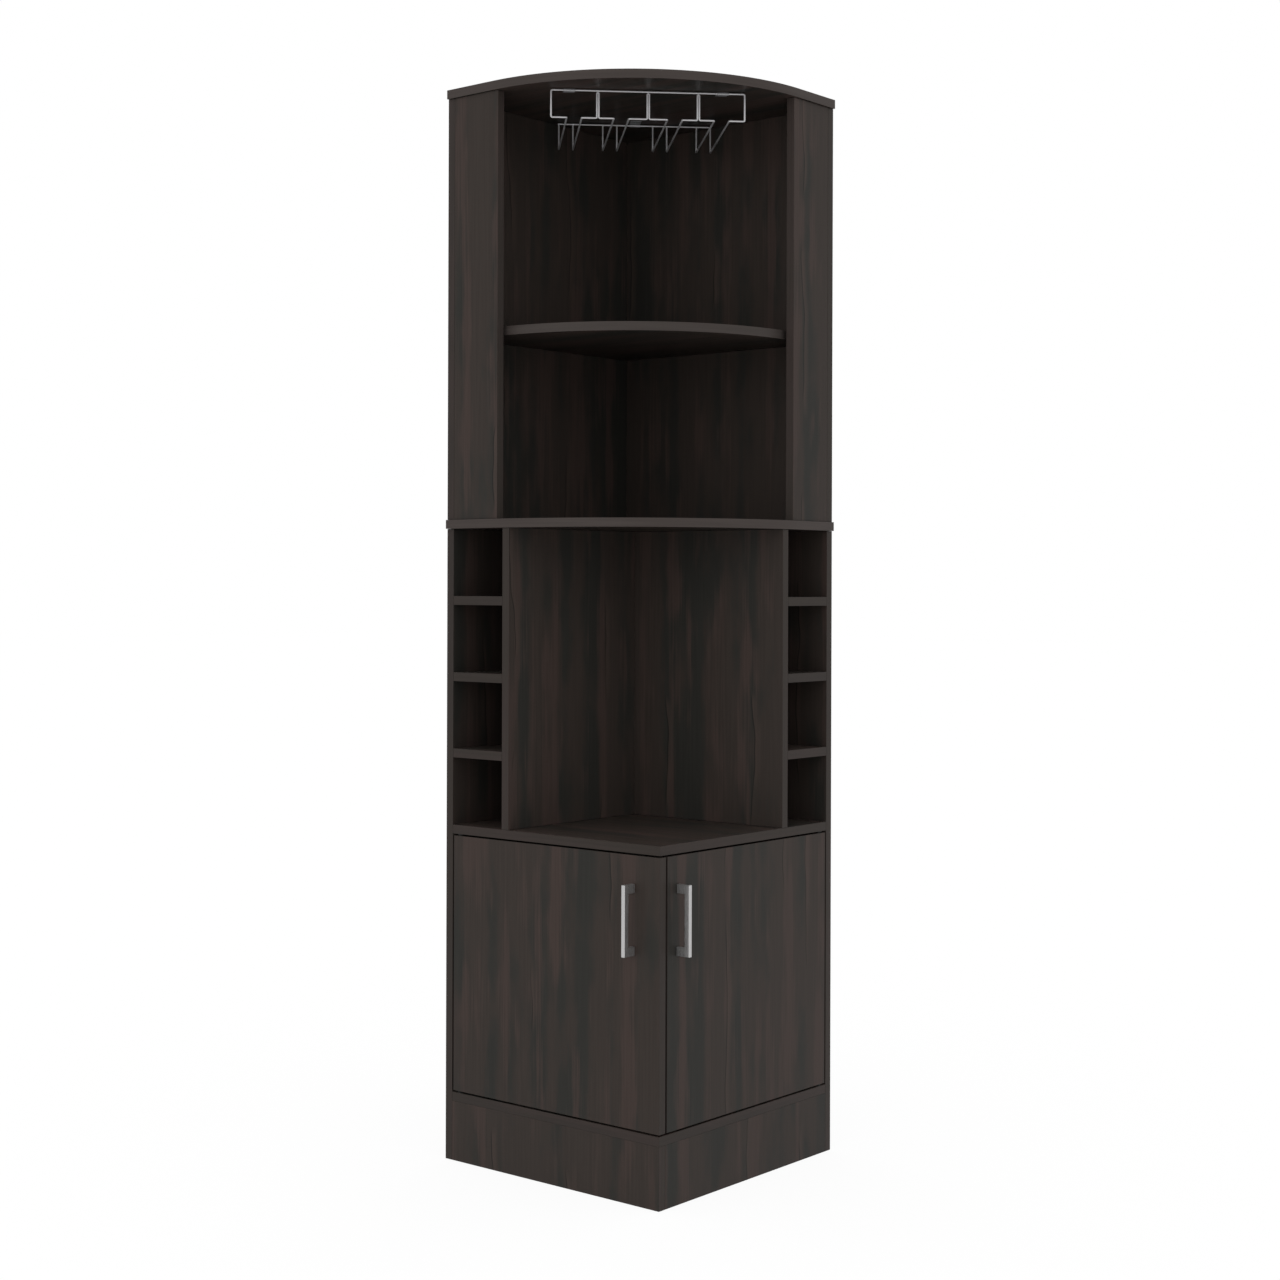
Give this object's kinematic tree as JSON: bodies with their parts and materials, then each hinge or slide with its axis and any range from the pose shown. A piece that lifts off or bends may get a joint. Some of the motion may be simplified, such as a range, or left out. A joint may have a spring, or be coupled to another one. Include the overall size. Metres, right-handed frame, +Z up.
{
  "type": "corner bar cabinet",
  "caption": "Tall corner bar cabinet with hinged doors, bottle cubbies, open bays and a hanging stemware rack under a rounded top.",
  "frame": {"origin": "middle of the bounding box's footprint at floor level, handles included", "axes": "+Z up; the room corner is at -X +Y, the left wall face looks to -X and the back wall face to +Y; the left door faces -Y, the right door faces +X, and the front corner points between them"},
  "size_m": [0.4906, 0.4906, 1.802],
  "materials": {
    "cabinet_board": "satin dark wenge melamine with a vertical streaked grain",
    "door_board": "satin dark wenge melamine with a vertical streaked grain",
    "handle_bar": "satin anodised",
    "rack_wire": "satin nickel plated",
    "fixing_steel": "zinc plated",
    "bush_nylon": "moulded nylon",
    "catch_body": "moulded black"
  },
  "bodies": {
    "cabinet": {"left_lower_wall_panel": "cabinet_board", "left_upper_wall_panel": "cabinet_board", "left_plinth_board": "cabinet_board", "left_cubby_divider": "cabinet_board", "left_cubby_shelf_1": "cabinet_board", "left_cubby_shelf_2": "cabinet_board", "left_cubby_shelf_3": "cabinet_board", "left_front_stile": "cabinet_board", "left_lower_door_bush": "bush_nylon", "left_upper_door_bush": "bush_nylon", "left_door_catch": "catch_body", "left_catch_inner_screw": "fixing_steel", "left_catch_outer_screw": "fixing_steel", "right_lower_wall_panel": "cabinet_board", "right_upper_wall_panel": "cabinet_board", "right_plinth_board": "cabinet_board", "right_cubby_divider": "cabinet_board", "right_cubby_shelf_1": "cabinet_board", "right_cubby_shelf_2": "cabinet_board", "right_cubby_shelf_3": "cabinet_board", "right_front_stile": "cabinet_board", "right_lower_door_bush": "bush_nylon", "right_upper_door_bush": "bush_nylon", "right_door_catch": "catch_body", "right_catch_inner_screw": "fixing_steel", "right_catch_outer_screw": "fixing_steel", "bottom_board": "cabinet_board", "bench_board": "cabinet_board", "middle_board": "cabinet_board", "upper_shelf": "cabinet_board", "top_board": "cabinet_board", "rack_frame_wire": "rack_wire", "rack_left_hairpin": "rack_wire", "rack_centre_hairpin": "rack_wire", "rack_right_hairpin": "rack_wire", "rack_back_rail": "rack_wire", "rack_left_clip": "rack_wire", "rack_left_clip_screw": "fixing_steel", "rack_right_clip": "rack_wire", "rack_right_clip_screw": "fixing_steel", "rack_back_clip": "rack_wire", "rack_back_clip_screw": "fixing_steel"},
    "left_door": {"left_door": "door_board", "left_handle": "handle_bar", "left_lower_handle_screw": "fixing_steel", "left_upper_handle_screw": "fixing_steel", "left_lower_door_pin": "fixing_steel", "left_upper_door_pin": "fixing_steel", "left_strike_plate": "fixing_steel", "left_strike_screw": "fixing_steel"},
    "right_door": {"right_door": "door_board", "right_handle": "handle_bar", "right_lower_handle_screw": "fixing_steel", "right_upper_handle_screw": "fixing_steel", "right_lower_door_pin": "fixing_steel", "right_upper_door_pin": "fixing_steel", "right_strike_plate": "fixing_steel", "right_strike_screw": "fixing_steel"}
  },
  "joints": [
    {"name": "left_door_swing", "type": "hinge", "parent": "cabinet", "child": "left_door", "pos_m": [-0.21625, -0.21225, 0.33225], "axis": [0, 0, -1], "range_deg": [0, 89]},
    {"name": "right_door_swing", "type": "hinge", "parent": "cabinet", "child": "right_door", "pos_m": [0.21225, 0.21625, 0.33225], "axis": [0, 0, 1], "range_deg": [0, 89]}
  ]
}
